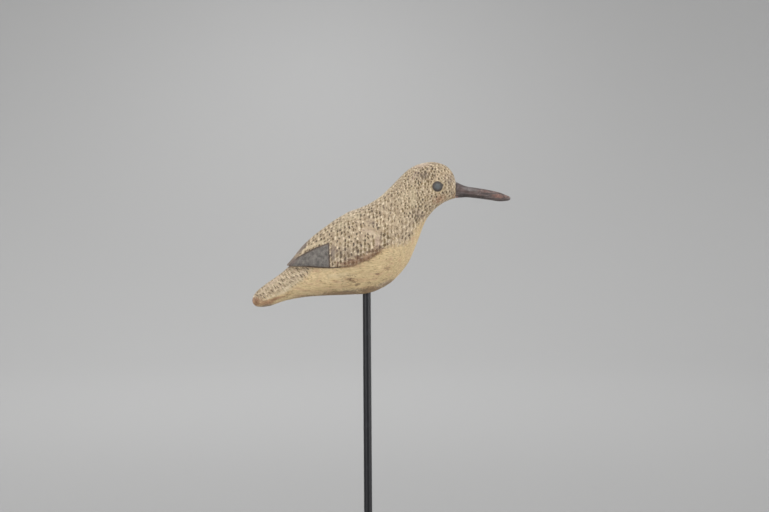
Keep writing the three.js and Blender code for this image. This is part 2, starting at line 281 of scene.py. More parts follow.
def carvedBlock():
    along = decoy["slicesAlong"]
    t = np.maximum(np.arange(along + 1), decoy["tailStart"]) / along
    share = np.minimum(t * (len(sliceTable) - 1) / decoy["tailRounding"], 1)
    body = loft("body", skinRings(t, backRow, np.sqrt(1 - (1 - share) ** 2), noSwell))
    first, last = decoy["wingSkin"]
    skin = t[(t >= first - 1e-6) & (t < last)]
    wings = loft("wings", skinRings(skin, wingRow, np.ones_like(skin), wingSwell))
    clear, top = decoy["length"] / 10, decoy["baseHeight"] + decoy["length"]  # well outside the block
    tip, shoulder = wingEdgeRow[0], wingEdgeRow[-1]
    outline = [tuple(p) for p in wingEdgeRow]
    outline += [(shoulder[0] + clear, shoulder[1]), (shoulder[0] + clear, top), (tip[0], top)]
    reach = decoy["bodyWidth"]
    combined(wings, prism("aboveEdge", outline, -reach, reach, "y"), "INTERSECT")
    fork, end = alongMm(*decoy["tipFork"])
    half = decoy["tipGap"] / 2
    wedge = [(fork, 0), (end, half), (end - clear, half), (end - clear, -half), (end, -half)]
    combined(wings, prism("tipWedge", wedge, decoy["baseHeight"], top, "z"), "DIFFERENCE")
    combined(body, wings, "UNION")
    for side in (1, -1):
        combined(body, eyeDome(side), "UNION")
    return body


def evenMesh(piece, voxel):  # the same form in small even faces, its points laid back on it
    mesh = piece.data
    surface = BVHTree.FromPolygons([v.co for v in mesh.vertices], [p.vertices for p in mesh.polygons])
    step = piece.modifiers.new("even", "REMESH")
    step.mode, step.voxel_size, step.adaptivity = "VOXEL", voxel * mm, 0
    applied(piece)
    movePoints(piece.data, np.array([surface.find_nearest(v.co)[0] for v in piece.data.vertices]))
    return piece


# The carver's marks: shallow knife facets, a slow unevenness and a few dents, in mm
marks = {
    "facets": 260, "facetSize": (17, 6.5, 6.5), "facetDepth": 0.16,
    "headFacets": 330, "headFacetSize": 6.0, "headDepthShare": 0.7,
    "headFrom": (57, 65),  # percent of the side view
    "ridgeShare": 0.55,  # how soft the ridge between two facets is
    "waveLength": (15, 7.5, 7.5), "waveDepth": 0.22,
    "dents": 26, "dentRadius": (0.7, 1.9), "dentDepth": (0.08, 0.26),
    "eyeGroove": (4.7, 0.55, 0.3),  # radius, half width and depth
    "seatOfBill": (0.1, 1.5),  # from the face, which stays true
}


def facetHeight(points, size, count):  # 1 on the ridges between facets, 0 inside them
    scaled = points / size
    seeds = scaled[chance.choice(len(points), count, replace=False)]
    near = np.full((len(points), 2), np.inf)
    for seed in seeds:
        distance = np.linalg.norm(scaled - seed, axis=1)
        near[:, 1] = np.minimum(near[:, 1], np.maximum(near[:, 0], distance))
        near[:, 0] = np.minimum(near[:, 0], distance)
    return 1 - smooth(near[:, 1] - near[:, 0], 0, marks["ridgeShare"])


def carve(piece):
    points, normals = pointsOf(piece.data) / mm, pointsOf(piece.data, "normal")
    onHead = smooth(points[:, 0], *alongMm(*marks["headFrom"]))
    long = facetHeight(points, marks["facetSize"], marks["facets"])
    short = facetHeight(points, marks["headFacetSize"], marks["headFacets"])
    depth = marks["facetDepth"] * (long * (1 - onHead) + marks["headDepthShare"] * short * onHead)
    wave = [noise.noise(Vector(p)) for p in points / marks["waveLength"]]
    depth += marks["waveDepth"] * np.array(wave)
    for place in points[chance.choice(len(points), marks["dents"], replace=False)]:
        radius, deep = chance.uniform(*marks["dentRadius"]), chance.uniform(*marks["dentDepth"])
        depth -= deep * np.exp(-(np.linalg.norm(points - place, axis=1) / radius) ** 2)
    eye = sideMm(decoy["eyePlace"])
    fromEye = np.hypot(points[:, 0] - eye[0], points[:, 2] - eye[1])
    radius, width, deep = marks["eyeGroove"]
    depth *= smooth(fromEye, decoy["eyeDiameter"] / 2, radius + width)
    depth -= deep * np.exp(-(((fromEye - radius) / width) ** 2))
    depth *= smooth(alongMm(decoy["faceAt"])[0] - points[:, 0], *marks["seatOfBill"])
    movePoints(piece.data, (points + normals * depth[:, None]) * mm)


def holes(piece):
    base, deep, past = decoy["baseHeight"], decoy["rodHoleDepth"], decoy["cutPast"]
    rodHole = bar("rodHole", (0, 0, base - deep), (0, 0, base + deep), decoy["rodHole"] / 2)
    combined(piece, rodHole, "DIFFERENCE")
    start, end = (faceX - decoy["tenonHoleDepth"], 0, faceZ), (faceX + past, 0, faceZ)
    combined(piece, bar("tenonHole", start, end, decoy["tenonHole"] / 2), "DIFFERENCE")


carvedBird = evenMesh(carvedBlock(), decoy["voxel"])
carve(carvedBird)
holes(carvedBird)
carvedBird.name = carvedBird.data.name = "carvedBird"
print("stage: block carved,", len(carvedBird.data.vertices), "points")


# Where each coat of paint goes, worked out at every point of the surface
paint = {
    # columns of brush strokes: mm between columns, mm from stroke to stroke, how far they stray,
    # half a stroke's width and length, and its lean in degrees
    "flecks": {
        "wing": (3.1, 3.4, 0.6, 0.48, 0.64, 17),
        "neck": (2.7, 3.3, 1.9, 0.33, 0.66, 5),
        "tail": (2.5, 4.6, 0.3, 0.27, 1.5, 20),
    },
    "flecksFinerFrom": (45, 56), "tailRowsUpTo": 27,  # percent of the side view
    "leanTurnsOver": 3, "columnsTurnOver": 0.8,  # mm beside the ridge of the back, where they change sides
    "tableSlices": 240, "tableLevels": 64,  # for measuring round the flank
    # on head and neck, with no rows: mm apart, half width in mm, width over height
    "dabs": (2.6, 0.48, 0.6),
    "dabsFrom": ((0.555, 0.575), (32.5, 34.5)),  # share of the block's length, percent up the side view
    # where the flecked upper parts end, above the plain belly
    "plumage": [
        (-3, 0.4), (5.0, 2.5), (13.6, 5.7), (18.6, 9.5), (22.2, 12.1), (24.2, 15.7), (30.7, 15.4),
        (38.9, 16.5), (46.5, 20.0), (50.8, 22.5), (58.5, 23.6), (61.2, 24.8), (64.6, 31.0),
        (67.1, 33.3), (73, 37),
    ],
    "onWingAtLeast": 4,  # mm inside the flecked parts
    "primaries": [(13.0, 15.0), (18.4, 19.6), (24.9, 23.0), (30.2, 24.9), (30.6, 14.0), (13.0, 14.2)],
    "offWing": -5,  # mm inside the primaries
    # a point is on a wing from this many mm off the body or up its slice, and so far along
    "wingMargin": 0.4, "overTheBack": 1.02, "wingsUpTo": 54,
    "eyeRadius": 4.1, "eyeCorner": (3.7, 1.0, 1.1),  # mm ahead of the middle, mm up, radius
    # where the dark line of painted shade in the crease under the wing thins out: by how many mm, and from
    # where to where in percent
    "shadeLineThins": [(0.9, 31, 42), (1, 46, 52), (0.7, 23, 17)],
    # the brown hem along it, partly the wing's own brown paint and partly painted shade on its rounded lower
    # edge, running on below the edge as a painted shadow on the belly: strength, mm to where it is whole and
    # mm of fading, above the edge and below it, and in percent where it comes in and goes out
    "hemAndShadow": (0.95, (1.8, 3.6), (0.6, 1.1), (29, 38), (47, 54)),
}
# soft patches of the side view: x and z in percent, half length and half height in mm, tilt in
# degrees, strength
patches = {
    "rust": [
        (0.8, 1.7, 7, 4.4, 20, 1.0), (7.6, 2.7, 14, 1.4, 17, 0.9), (14.0, 5.3, 8, 1.0, 26, 0.5),
        (5.8, 1.5, 8, 1.6, 14, 0.95), (13.6, 4.4, 6, 1.0, 22, 0.55), (72.7, 41.2, 7, 4, 20, 0.6),
        (78.4, 42.5, 1.6, 2.2, 0, 0.6),
    ],
    # dark reddish drops near the wing's lower edge, and what has soaked into the belly
    "stains": [
        (41.0, 19.4, 2.1, 1.8, 0, 1.25), (38.1, 18.4, 1.5, 1.1, 0, 0.85),
        (33.6, 17.3, 1.2, 1.0, 0, 0.8), (44.8, 21.3, 1.8, 1.0, 20, 0.8),
        (36.2, 17.2, 1.0, 0.8, 0, 0.8), (48.0, 23.2, 3.6, 1.6, 45, 0.55),
        (37.8, 11.0, 3.4, 1.3, 8, 0.6), (40.9, 8.9, 3.4, 1.6, 10, 0.6),
        (48.6, 12.9, 2.6, 1.3, 0, 0.58), (52.7, 15.2, 3.6, 0.9, 12, 0.55),
        (37.0, 8.3, 6.5, 0.9, 4, 0.42), (32.0, 6.9, 5, 0.8, 0, 0.4), (45.8, 9.4, 6, 1.0, -4, 0.42),
        (51.5, 10.6, 5, 1.0, 20, 0.42), (54.5, 12.2, 2.4, 0.9, 30, 0.4),
        (49.8, 22.8, 4.5, 2.4, 20, 0.52), (53.0, 24.2, 4.5, 1.8, 12, 0.4),
        (50.4, 20.4, 2.2, 1.2, 20, 0.36), (45.2, 17.9, 2.6, 1.0, 22, 0.5),
        (42.4, 6.6, 3.4, 1.4, 8, 0.5),
    ],
    # rubbed thin, so that a pinkish ground shows
    "worn": [
        (45.4, 29.2, 7, 2.0, -20, 0.6), (48.9, 25.4, 6, 2.8, 80, 0.85), (75.4, 49.0, 5, 3, -60, 0.4),
        (65.9, 54.4, 9.5, 2.2, 9, 0.72), (63.5, 50.6, 8, 2.5, 50, 0.5), (23, 27.2, 16, 1.6, 40, 0.55),
        (40, 37.4, 18, 1.6, 22, 0.4), (8, 9.4, 14, 1.8, 38, 0.6), (65, 35, 4, 9, 60, 0.4),
        (36.0, 10.0, 10, 3.0, 4, 0.34), (50.5, 8.6, 10, 1.6, 25, 0.6), (33.0, 22.0, 2.0, 5.0, 10, 0.5),
        (42.5, 27.8, 4.5, 1.6, -20, 0.45), (71.5, 49.6, 5, 1.8, 0, 0.4),
    ],
    # darker places: the crown's dark patch, the throat, the wing's tip and rear ridge and the edge of the
    # primaries in their own darker tones; painted shade under the belly and the tail's tip, in the hollow
    # above the shoulder, over the wing's lower half and on the face beside the bill
    "darkToneAndShade": [
        (67.0, 50.4, 6.5, 3.6, 15, 0.42), (64.2, 34, 6, 13, 25, 0.24),
        (15.1, 17.4, 7.5, 3.6, 45, 0.72), (66.8, 51.2, 13, 5.0, 12, 0.27),
        (19.6, 22.6, 8, 1.5, 47, 0.7), (46.6, 32.2, 7, 2.8, -25, 0.35),
        (38.5, 21.6, 18, 8.5, 12, 0.32), (31.7, 21, 2.6, 8, 0, 0.54), (77.6, 43.4, 2.4, 3, 0, 0.34),
        (76.8, 48.8, 3.6, 6, -20, 0.36), (5.6, 0.4, 8, 1.7, 12, 0.5), (46.2, 6.4, 8, 3.6, 10, 0.22),
        (40.0, 6.4, 13, 2.2, 3, 0.37), (50.5, 7.9, 10, 4.2, 30, 0.34),
    ],
    # grime where the bird was handled, together with painted shade darkening the belly's underside, the
    # lower breast and the belly just before the wing's lower front
    "grimeAndShade": [
        (39, 10.8, 9, 5, 0, 0.55), (52.3, 14.7, 3.4, 2.2, 0, 0.5), (46.3, 6.2, 10, 4.6, 8, 1.0),
        (48.9, 20.8, 6, 2.8, 34, 0.68), (35, 4.6, 19, 3.8, 1, 1.2), (22.5, 3.9, 13, 2.4, 4, 0.75),
        (52.6, 8.2, 9, 3.2, 42, 0.9), (59.5, 15.6, 9, 1.6, 58, 0.5),
    ],
    # paler places: the cream line above the primaries, the tail's pale bands and lighter patches on neck and
    # back in their own paler paint; painted highlight along the top edges of the back and crown, on the
    # shoulder's ledge and at the throat's front, and painted light on the belly just under the wing
    "pale": [
        (47.4, 28.4, 11, 1.9, -23, 0.6), (24.4, 24.0, 14, 1.2, 25, 0.95), (8.4, 9.2, 18, 3.2, 36, 0.6),
        (10.0, 5.0, 14, 1.1, 22, 1.0), (15.2, 8.5, 12, 1.3, 32, 1.0), (35.0, 12.4, 19, 3.2, 2, 0.5),
        (66.6, 55.2, 9, 1.6, 6, 0.8), (38.2, 34.6, 12, 4.5, 15, 0.52), (58.8, 42.5, 4.5, 10, -45, 0.5),
        (62.4, 42.2, 3.6, 12, 0, 0.66), (50.6, 42.8, 14, 1.8, 34, 0.55), (34.4, 31.2, 8, 3.6, 30, 0.6),
        (17.0, 12.8, 8, 1.8, 10, 0.55), (13.8, 9.6, 4, 6, 20, 0.55), (66.3, 28.5, 3, 9, -25, 0.5),
    ],
    "bare": [
        (46.9, 29.8, 8, 1.9, -23, 1.0), (46.0, 33.0, 3.6, 2.8, 30, 0.8), (16.0, 18.2, 7, 3.4, 45, 0.9),
        (24, 23.6, 13, 0.8, 26, 0.7),
    ],
    # where the paint of the flecks is laid on thicker, and over the wing's lower half, where wider dark
    # flecks add painted shade
    "dense": [
        (67.2, 50.6, 9, 6.5, 15, 1.0), (64.6, 33, 5, 13, 25, 0.8), (39, 21, 22, 7, 12, 0.42),
        (51.5, 26, 5, 8, 0, 1.0),
    ],
}


def softSpots(x, z, spots):  # the strongest of several soft spots, each flat in its middle
    strength = np.zeros_like(x)
    for atX, atZ, long, high, tilt, most in spots:
        (midX, midZ), turn = sideMm((atX, atZ)), math.radians(tilt)
        u = (x - midX) * math.cos(turn) + (z - midZ) * math.sin(turn)
        v = (z - midZ) * math.cos(turn) - (x - midX) * math.sin(turn)
        strength = np.maximum(strength, most * np.exp(-((u / long) ** 2 + (v / high) ** 2) ** 1.5))
    return strength


def insideOf(outline, x, z):  # mm inside a closed outline of the side view, negative outside
    row = sideMm(outline + outline[:1])
    inside = np.zeros(x.shape, bool)
    for a, b in zip(row[:-1], row[1:]):
        crosses = (a[1] > z) != (b[1] > z)
        inside ^= crosses & (x < (b[0] - a[0]) * (z - a[1]) / (b[1] - a[1] + 1e-9) + a[0])
    distance = np.abs(distanceLeftOf(row, x, z))
    return np.where(inside, distance, -distance)


def lengthAlong(points):  # mm from the first of a row of points to each of them
    return np.append(0, np.cumsum(np.linalg.norm(np.diff(points, axis=0), axis=1)))


def fromRidge(topRow, t, height):  # mm round the flank from the ridge of the back
    slices, levels = paint["tableSlices"], paint["tableLevels"]
    grid = np.linspace(0, 1, slices + 1)
    rings = skinRings(grid, topRow, np.ones_like(grid), noSwell)[:, : decoy["pointsAround"] // 2 + 1]
    table = []
    for ring, belly, top in zip(rings, splineThrough(bellyRow, grid), splineThrough(topRow, grid)):
        reach = np.linalg.norm(ring[:, [0, 2]] - belly, axis=1) / np.linalg.norm(top - belly)
        arc = lengthAlong(ring)
        table.append(np.interp(np.linspace(0, 1, levels + 1), reach, arc[-1] - arc))
    table = np.array(table)
    i, j = t * slices, np.clip(height, 0, 1) * levels
    i0, j0 = np.minimum(i.astype(int), slices - 1), np.minimum(j.astype(int), levels - 1)
    fi, fj = i - i0, j - j0
    return ((table[i0, j0] * (1 - fj) + table[i0, j0 + 1] * fj) * (1 - fi)
            + (table[i0 + 1, j0] * (1 - fj) + table[i0 + 1, j0 + 1] * fj) * fi)


def fleckRows(topRow, t, height, x, y, tail):  # each point's place in the columns of strokes, and their form
    wing, neck, tailForm = (np.array(paint["flecks"][name]) for name in ("wing", "neck", "tail"))
    places = np.linspace(x.min(), x.max(), paint["tableSlices"] + 1)
    low, high = alongMm(*paint["flecksFinerFrom"])
    gaps = wing[0] + (neck[0] - wing[0]) * smooth(places[1:], low, high)
    u = np.interp(x, places, np.append(0, np.cumsum(np.diff(places) / gaps)))
    form = wing + (neck - wing) * smooth(x, low, high)[:, None]
    # on the tail they are counted along its middle line
    grid = np.linspace(0, 1, paint["tableSlices"] + 1)
    middle = (splineThrough(bellyRow, grid) + splineThrough(topRow, grid)) / 2
    u = np.where(tail, np.interp(t, grid, lengthAlong(middle)) / tailForm[0], u)
    form = np.where(tail[:, None], tailForm, form)
    v = fromRidge(topRow, t, height) * np.tanh(y / paint["columnsTurnOver"]) / form[:, 1]
    lean = np.radians(form[:, 5]) * np.tanh(y / paint["leanTurnsOver"])
    return np.stack([u, v, lean], 1), form


# the brown hem with its painted shade, and the painted shadow just below the wing's edge
def hemAndShadowStrength(aboveEdge, percentX):
    most, (above, fadeUp), (below, fadeDown), comesIn, goesOut = paint["hemAndShadow"]
    strength = most * np.exp(-((aboveEdge - above).clip(0) / fadeUp) ** 2)
    strength *= np.exp(-((-below - aboveEdge).clip(0) / fadeDown) ** 2)
    return strength * smooth(percentX, *comesIn) * (1 - smooth(percentX, *goesOut))


def storeFields(piece, fields):
    for name, values in fields.items():
        wide = values.ndim == 2
        field = piece.data.attributes.new(name, "FLOAT_VECTOR" if wide else "FLOAT", "POINT")
        field.data.foreach_set("vector" if wide else "value", values.astype(np.float32).ravel())


def markPaint(piece):
    x, y, z = (pointsOf(piece.data) / mm).T
    t, height = placeOn(backRow, x, z)
    aboveEdge = distanceLeftOf(wingEdgeRow, x, z)
    percentX = x / decoy["length"] * 100 + decoy["rodPlace"][0]
    percentZ = (z - decoy["baseHeight"]) / decoy["length"] * 100 + decoy["rodPlace"][1]
    margin = paint["wingMargin"]
    onWing = (np.abs(y) > halfWidthAt(t, height) + margin) | (height > paint["overTheBack"])
    onWing &= (aboveEdge > -margin) & (percentX < paint["wingsUpTo"])
    onTail = ~onWing & (percentX < paint["tailRowsUpTo"])
    rows, form = fleckRows(backRow, t, height, x, y, onTail)
    wingRows, wingForm = fleckRows(wingRow, *placeOn(wingRow, x, z), x, y, onTail)
    rows, form = np.where(onWing[:, None], wingRows, rows), np.where(onWing[:, None], wingForm, form)
    plumage = distanceLeftOf(sideMm(paint["plumage"]), x, z)
    eye = sideMm(decoy["eyePlace"])
    ahead, up, radius = paint["eyeCorner"]
    fromEye = np.minimum(np.hypot(x - eye[0], z - eye[1]) - paint["eyeRadius"],
                         np.hypot(x - eye[0] - ahead, z - eye[1] - up) - radius)
    alongBlock, upSide = paint["dabsFrom"]
    thinned = sum(by * smooth(percentX, *span) for by, *span in paint["shadeLineThins"])
    storeFields(piece, {
        "fleckRows": rows, "fleckForm": form[:, :3], "fleckSize": form[:, 3:],
        "plumage": np.where(onWing, np.maximum(plumage, paint["onWingAtLeast"]), plumage),
        "primaries": np.where(onWing, insideOf(paint["primaries"], x, z), paint["offWing"]),
        "fromEye": fromEye,
        "dabbed": smooth(t, *alongBlock) * smooth(percentZ, *upSide),
        "fromWingEdge": np.abs(aboveEdge) + thinned,
        "hemAndShadow": hemAndShadowStrength(aboveEdge, percentX),
    })
    storeFields(piece, {name: softSpots(x, z, spots) for name, spots in patches.items()})


def finishShape(piece, sharpFrom=50):  # smooth faces, with sharp edges from this angle in degrees
    piece.data.shade_smooth()
    piece.data.set_sharp_from_angle(angle=math.radians(sharpFrom))


markPaint(carvedBird)
finishShape(carvedBird)
print("stage: paint laid out")

# The bill, with its tenon in the face
bill = {
    "gap": 0.3, "tenonDiameter": 5, "tenonLength": 9, "tenonRoot": 2.5, "faceWidth": 9.62,  # mm
    "slices": 150, "around": 80,
    "facets": 50, "facetSize": (13, 2.0, 2.0), "facetDepth": 0.07, "seam": (0.2, 2),
    # lower edge x z, upper edge x z, width as a share of the face's
    "sections": [
        (79.0, 41.7, 79.1, 47.9, 1), (80.9, 41.8, 80.9, 47.0, 0.88), (83.2, 41.9, 83.2, 46.1, 0.8),
        (87.0, 41.5, 87.0, 45.5, 0.76), (91.5, 40.9, 91.5, 44.7, 0.74), (95.5, 40.3, 95.5, 43.8, 0.7),
        (98.0, 40.4, 98.0, 42.8, 0.56), (99.4, 40.6, 99.5, 42.2, 0.36), (100.0, 41.0, 100.1, 41.6, 0.12),
    ],
}
billPatches = {
    "rust": [
        (95.4, 42.3, 6, 1.8, -5, 1.0), (92.5, 44.0, 12, 1.3, -5, 0.6), (89.0, 42.6, 6, 1.1, -5, 0.4),
        (98.4, 42.0, 4, 2.0, -10, 0.6), (79.4, 41.9, 1.4, 1.4, 0, 0.9),
    ],
    # the greyish tip, and a painted highlight along the bill's top
    "pale": [
        (83.9, 45.2, 6, 1.8, -14, 0.7), (98.8, 42.0, 3, 1.6, 0, 0.5), (87.0, 43.6, 4, 0.8, -5, 0.35),
    ],
    # painted shade along the bill's underside and at its root by the face
    "darkToneAndShade": [
        (91, 40.3, 22, 1.3, -6, 1.0), (85.0, 42.2, 13, 1.9, -3, 1.0), (80.4, 44.0, 2.6, 5, 0, 0.45),
    ],
}


def makeBill():
    table = np.array(bill["sections"])
    t = np.linspace(0, 1, bill["slices"])
    low, high = (splineThrough(sideMm(table[:, i : i + 2]), t)[:, None] for i in (0, 2))
    width = splineThrough(table[:, 4:5], t) * bill["faceWidth"] / 2
    angle = turnAngles(bill["around"]) - np.pi / 2
    side = low + (high - low) * ((1 + np.sin(angle)) / 2)[None, :, None]
    rings = np.stack([side[..., 0] + bill["gap"], width * np.cos(angle), side[..., 1]], -1)
    piece = loft("paintedBill", rings)
    points, normals = pointsOf(piece.data) / mm, pointsOf(piece.data, "normal")
    facets = facetHeight(points, bill["facetSize"], bill["facets"])
    away = smooth(points[:, 0] - points[:, 0].min(), *bill["seam"])  # true at the seam
    movePoints(piece.data, (points + normals * (facets * away * bill["facetDepth"])[:, None]) * mm)
    start, end = (faceX - bill["tenonLength"], 0, faceZ), (faceX + bill["tenonRoot"], 0, faceZ)
    combined(piece, bar("tenon", start, end, bill["tenonDiameter"] / 2), "UNION")
    x, _, z = (pointsOf(piece.data) / mm).T
    storeFields(piece, {name: softSpots(x, z, spots) for name, spots in billPatches.items()})
    finishShape(piece)
    return piece


paintedBill = makeBill()
print("stage: bill made")

# The stand: a bright-drawn bar blackened all over, in a turned foot
stand = {
    "rodDiameter": 6.35, "gap": 0.3, "rodInDecoy": 20, "socketFloor": 3, "height": 235,  # mm
    "footDiameter": 92, "footThickness": 10, "edgeRound": 1.2, "rodBevel": 0.4, "rimBevel": 0.4,
    "sides": 160, "rodLevels": 40, "edgeSteps": 6,
    "topRing": 0.6,  # of the foot's radius, a ring of points across its flat top
}


def turned(name, profile):  # a profile of radius and height turned round the upright axis
    angle = turnAngles(stand["sides"])
    rings = [np.stack([r * np.cos(angle), r * np.sin(angle), 0 * angle + z], 1) for r, z in profile]
    piece = loft(name, np.array(rings))
    finishShape(piece, sharpFrom=35)
    return piece


def makeRod():
    bottom = stand["socketFloor"] + stand["gap"]
    top = stand["footThickness"] + stand["height"] + stand["rodInDecoy"] - stand["gap"]
    radius, bevel = stand["rodDiameter"] / 2, stand["rodBevel"]
    length = [(radius, z) for z in np.linspace(bottom + bevel, top - bevel, stand["rodLevels"])]
    return turned("steelRod", [(radius - bevel, bottom)] + length + [(radius - bevel, top)])


def makeFoot():
    radius, top, soft = stand["footDiameter"] / 2, stand["footThickness"], stand["edgeRound"]
    quarter = np.radians(np.linspace(0, 90, stand["edgeSteps"] + 1))
    lower = [(radius - soft + soft * math.sin(a), soft - soft * math.cos(a)) for a in quarter]
    upper = [(radius - soft + soft * math.cos(a), top - soft + soft * math.sin(a)) for a in quarter]
    socket, bevel = stand["rodDiameter"] / 2 + stand["gap"], stand["rimBevel"]
    inner = [(radius * stand["topRing"], top), (socket + bevel, top), (socket, top - bevel)]
    return turned("steelFoot", lower + upper + inner + [(socket, stand["socketFloor"])])


steelRod, steelFoot = makeRod(), makeFoot()
print("stage: stand made")


# Materials
perMetre = 1000  # a pattern's scale is this over its size in mm


def colour(code):  # an sRGB hex value as linear red, green, blue and 1
    parts = [int(code[i : i + 2], 16) / 255 for i in (1, 3, 5)]
    return tuple(c / 12.92 if c <= 0.04045 else ((c + 0.055) / 1.055) ** 2.4 for c in parts) + (1,)


def feed(node, inputs):  # by name or number: a plain value, a socket or a node's first output
    for socket, value in inputs.items():
        if isinstance(value, bpy.types.Node):
            value = value.outputs[0]
        if isinstance(value, bpy.types.NodeSocket):
            node.id_data.links.new(value, node.inputs[socket])
        else:
            node.inputs[socket].default_value = value


def addNode(tree, kind, inputs, **settings):
    made = tree.nodes.new("ShaderNode" + kind)
    for name, value in settings.items():
        setattr(made, name, value)
    feed(made, inputs)
    return made


def newMaterial(name):  # with its shader, and the helper that adds a node to it
    material = bpy.data.materials.new(name)
    material.use_nodes = True
    tree = material.node_tree
    return material, tree.nodes["Principled BSDF"], partial(addNode, tree)


def layOutPatterns(add, coords, patterns):  # a finish's patterns by name, from their sizes in mm
    noises = {}
    for name, (size, detail, rough) in patterns.items():
        scales = [perMetre / length for length in size]
        place = add("VectorMath", {0: coords, 1: scales}, operation="MULTIPLY")
        inputs = {"Vector": place, "Scale": 1, "Detail": detail, "Roughness": rough}
        noises[name] = add("TexNoise", inputs)
    return noises


# Patterns that both old paints have: size in mm along the grain and across it, detail, roughness
paintPatterns = {
    "ragged": ((1.8, 1.8, 1.8), 3, 0.65), "cloudy": ((16, 16, 16), 2, 0.5),
    "mottled": ((3, 3, 3), 4, 0.7), "specks": ((2.4, 0.8, 0.8), 1, 0.5),
}
# Oil paint on pine: dull old cream, its brush strokes and the wood's grain just felt, dark flecks
# laid over it in rows, and brown where hands have rubbed it. Painted shade darkens the underside, the
# crease under the wing and the face beside the bill, and painted highlight lightens the top edges.
# It gives a soft, almost chalky light.
oilPaintOnPine = {
    "cream": ("#c6ac80", "#e5cea1"), "mottling": 0.07, "roughness": (0.54, 0.72), "bumpDepth": 0.00012,
    "patterns": {"streaks": ((7, 0.8, 0.8), 4, 0.6), "tinge": ((11, 3, 3), 3, 0.6)},
    "tinge": ("#c79f80", 0.6),  # where the ground glows through, and how much
    "fleckedGround": ("#ad987e", "#c5b093"),
    # light flecks and then dark ones: shift from column and row, two tones, mm wider where thick
    "flecks": [((0.5, 0.45, 0), ("#d0bf9f", "#ebdabd"), 0.1), ((0, 0, 0), ("#4b3b2b", "#8b7650"), 0.35)],
    "plumageRagged": 6,  # mm that the ragged pattern moves the flecked parts' edge
    "coats": [
        # field, its value where the coat starts and where it is whole, two tones, strength, raggedness
        # paler paint, and painted highlight along the top edges of the back and crown, on the shoulder's
        # ledge, at the throat's front and on the belly under the wing
        ("pale", 0.25, 0.8, ("#ccb997", "#dfceae"), 0.72, 0.3),
        ("worn", 0.15, 0.9, ("#b99f8c", "#d7c0ae"), 0.65, 0.5),
        ("rust", 0.2, 0.85, ("#865a40", "#b98e70"), 0.76, 0.8),
        # the brown hem along the wing's lower edge: brown paint, painted shade on the edge and a painted
        # shadow below it
        ("hemAndShadow", 0.3, 1.0, ("#6e4935", "#a17a5e"), 0.7, 0.75),
        # grime, and painted shade under the belly and before the wing's lower front
        ("grimeAndShade", 0.3, 0.9, ("#6a4c34", "#8e6b4a"), 0.64, 0.8),
        ("stains", 0.25, 0.7, ("#4c2e24", "#7a5640"), 0.7, 0.5),
        ("specks", 0.63, 0.72, ("#7a5f3b", "#967850"), 0.65, 0.02),
        ("primaries", -0.45, 0.1, ("#4a3b32", "#6a5a50"), 1.0, 0.3),
        ("primaries", 0.5, 1.3, ("#5f5a56", "#857f78"), 1.0, 0.3),
        # darker tones, and painted shade under the belly and tail, over the wing's lower half, in the
        # shoulder's hollow and beside the bill
        ("darkToneAndShade", 0.1, 0.7, ("#5f514b", "#82736a"), 0.9, 0.35),
        # a dark line of painted shade along the crease under the wing's lower edge, thinning out towards its
        # front and tip
        ("fromWingEdge", 0.9, 0.2, ("#44342b", "#5c4a3e"), 0.85, 0.3),
        ("fromEye", 1.6, 0.7, ("#bda985", "#ccb894"), 0.45, 0.3),
        ("fromEye", 0.2, -0.3, ("#4a433d", "#57504a"), 1.0, 0.1),
        # the eye's lighter bluish grey middle, a painted reflection of the light on the domed eye
        ("fromEye", -0.7, -3.0, ("#5c6162", "#676b6b"), 1.0, 0.2),
    ],
}
# Oil paint on a hardwood bill: brown-black and a little shiny, rubbed back to red-brown wood near
# the tip. It catches a soft streak of light along its top, partly a painted highlight, and its underside is
# painted darker as shade.
oilPaintOnBill = {
    "cream": ("#504746", "#746966"), "mottling": 0.2, "roughness": (0.34, 0.52), "bumpDepth": 0.0001,
    "patterns": {"streaks": ((8, 1.3, 1.3), 4, 0.6), "tinge": ((12, 2.5, 2.5), 3, 0.6)},
    "tinge": ("#6d504a", 0.35),
    "coats": [
        # the grey of the tip, and a painted highlight along the top
        ("pale", 0.2, 0.8, ("#7b7370", "#989290"), 0.6, 0.3),
        # painted shade underneath and at the root
        ("darkToneAndShade", 0.2, 0.8, ("#352f2e", "#4a403d"), 0.85, 0.3),
        ("rust", 0.2, 1.0, ("#75554c", "#a88276"), 0.8, 0.9),
        ("specks", 0.62, 0.72, ("#877c79", "#9a908d"), 0.5, 0.05),
    ],
}
# How the strokes and dabs differ from each other: least share or radians, and how much more
strokes = {"length": (0.65, 0.6), "width": (0.75, 0.5), "lean": (-0.25, 0.5), "dab": (0.6, 0.8)}
shake = {"size": 3.2, "reach": 0.8}  # the pattern in mm that the strokes stray by, and how far


